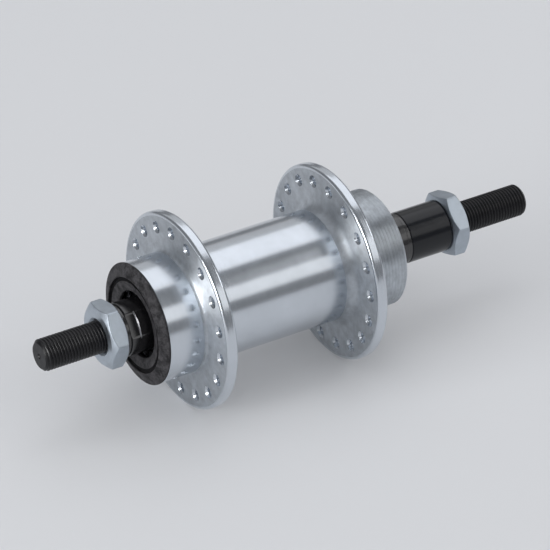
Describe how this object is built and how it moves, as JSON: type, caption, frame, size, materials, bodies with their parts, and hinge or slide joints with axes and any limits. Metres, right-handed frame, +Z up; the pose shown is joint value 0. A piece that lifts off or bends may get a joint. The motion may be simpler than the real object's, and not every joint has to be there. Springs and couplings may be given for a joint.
{
  "type": "bicycle rear hub",
  "caption": "High-flange rear wheel hub with a polished alloy shell, a freewheel thread, cup-and-cone ball bearings and a solid threaded axle.",
  "frame": {"origin": "on the hub axis, midway between the outer faces of the two locknuts", "axes": "+Y along the hub axis towards the left side with the plain boss, -Y towards the freewheel thread, +Z up, +X forwards"},
  "size_m": [0.059, 0.1616, 0.059],
  "materials": {
    "shell_alloy": "polished, faintly brushed round the axis",
    "race_steel": "hardened and ground",
    "ball_steel": "mirror",
    "cap_rubber": "matt",
    "pressed_steel": "bright zinc",
    "axle_black": "black oxide, satin",
    "cone_black": "black, glossy",
    "spacer_black": "black, satin",
    "nut_zinc": "bluish zinc, satin"
  },
  "bodies": {
    "axle_set": {"axle": "axle_black", "cone_left": "cone_black", "cone_right": "cone_black", "washer_left": "cone_black", "washer_right": "cone_black", "spacer_right": "spacer_black", "locknut_left": "nut_zinc", "locknut_right": "nut_zinc"},
    "shell": {"hub_shell": "shell_alloy", "bearing_cup_left": "race_steel", "bearing_cup_right": "race_steel", "dust_cap_left": "cap_rubber", "dust_cap_right": "pressed_steel"},
    "balls_left": {"ball_left_1": "ball_steel", "ball_left_2": "ball_steel", "ball_left_3": "ball_steel", "ball_left_4": "ball_steel", "ball_left_5": "ball_steel", "ball_left_6": "ball_steel", "ball_left_7": "ball_steel", "ball_left_8": "ball_steel", "ball_left_9": "ball_steel"},
    "balls_right": {"ball_right_1": "ball_steel", "ball_right_2": "ball_steel", "ball_right_3": "ball_steel", "ball_right_4": "ball_steel", "ball_right_5": "ball_steel", "ball_right_6": "ball_steel", "ball_right_7": "ball_steel", "ball_right_8": "ball_steel", "ball_right_9": "ball_steel"}
  },
  "joints": [
    {"name": "shell_spin", "type": "hinge", "parent": "axle_set", "child": "shell", "pos_m": [0, 0, 0], "axis": [0, 1, 0], "continuous": true},
    {"name": "balls_left_orbit", "type": "hinge", "parent": "axle_set", "child": "balls_left", "pos_m": [0, 0.0402, 0], "axis": [0, 1, 0], "continuous": true},
    {"name": "balls_right_orbit", "type": "hinge", "parent": "axle_set", "child": "balls_right", "pos_m": [0, -0.0266, 0], "axis": [0, 1, 0], "continuous": true}
  ],
  "couplings": [
    {"joint": "balls_left_orbit", "follows": "shell_spin", "ratio": 0.613},
    {"joint": "balls_right_orbit", "follows": "shell_spin", "ratio": 0.613}
  ]
}
